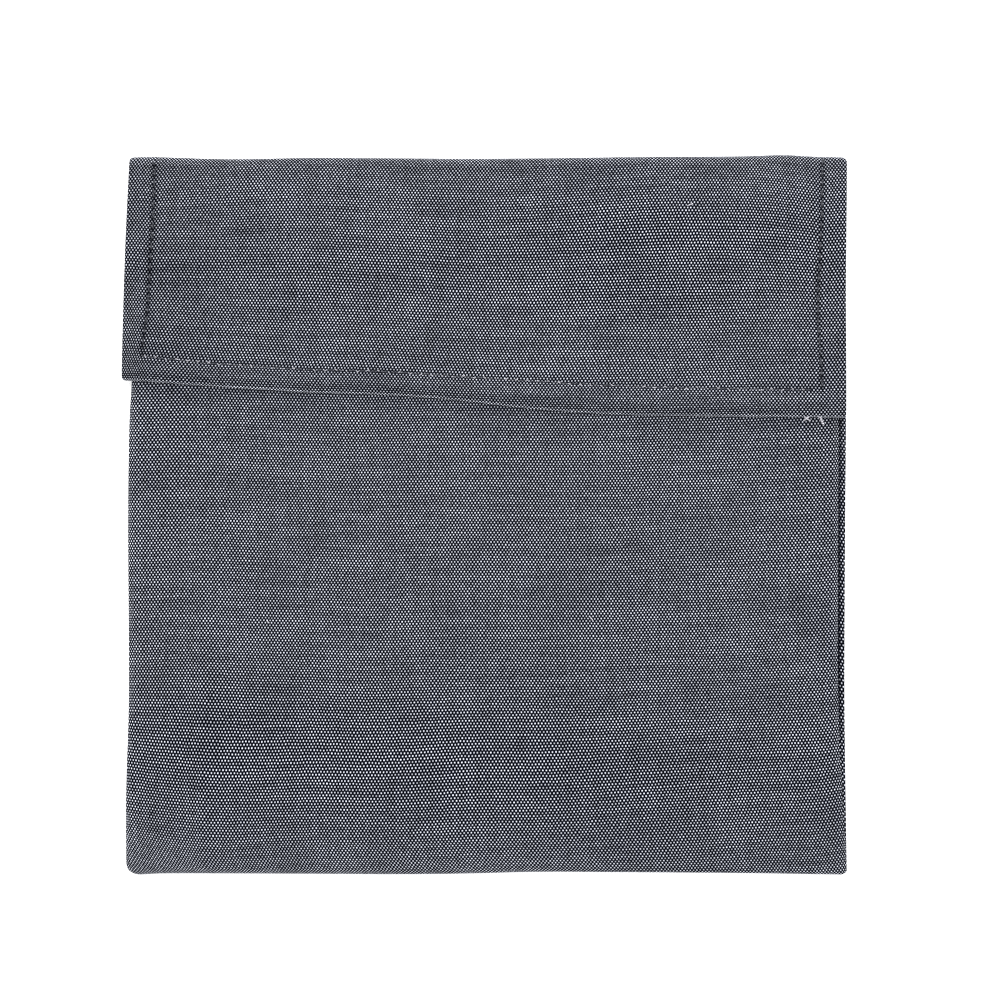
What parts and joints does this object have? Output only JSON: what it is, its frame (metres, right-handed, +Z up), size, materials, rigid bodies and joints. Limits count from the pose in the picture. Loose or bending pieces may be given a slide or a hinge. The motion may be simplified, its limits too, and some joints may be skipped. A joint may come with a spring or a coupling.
{
  "type": "reusable sandwich bag",
  "caption": "Flat square pocket of speckled woven cloth with a hemmed fold-over flap that covers its mouth; holds a sandwich or a snack.",
  "frame": {"origin": "under the middle of the bag's box, on the surface that it lies on", "axes": "+X across the bag to the right as seen from above, +Y from the bottom fold to the top fold, +Z up through the layers from the back to the flap"},
  "size_m": [0.181, 0.1796, 0.0051],
  "materials": {
    "chambray": "matte plain weave, near-black navy warp with white weft",
    "sewing_thread": "matte grey sewing thread",
    "white_yarn": "matte undyed cotton yarn"
  },
  "bodies": {
    "root": {"bag": "chambray"}
  },
  "joints": []
}
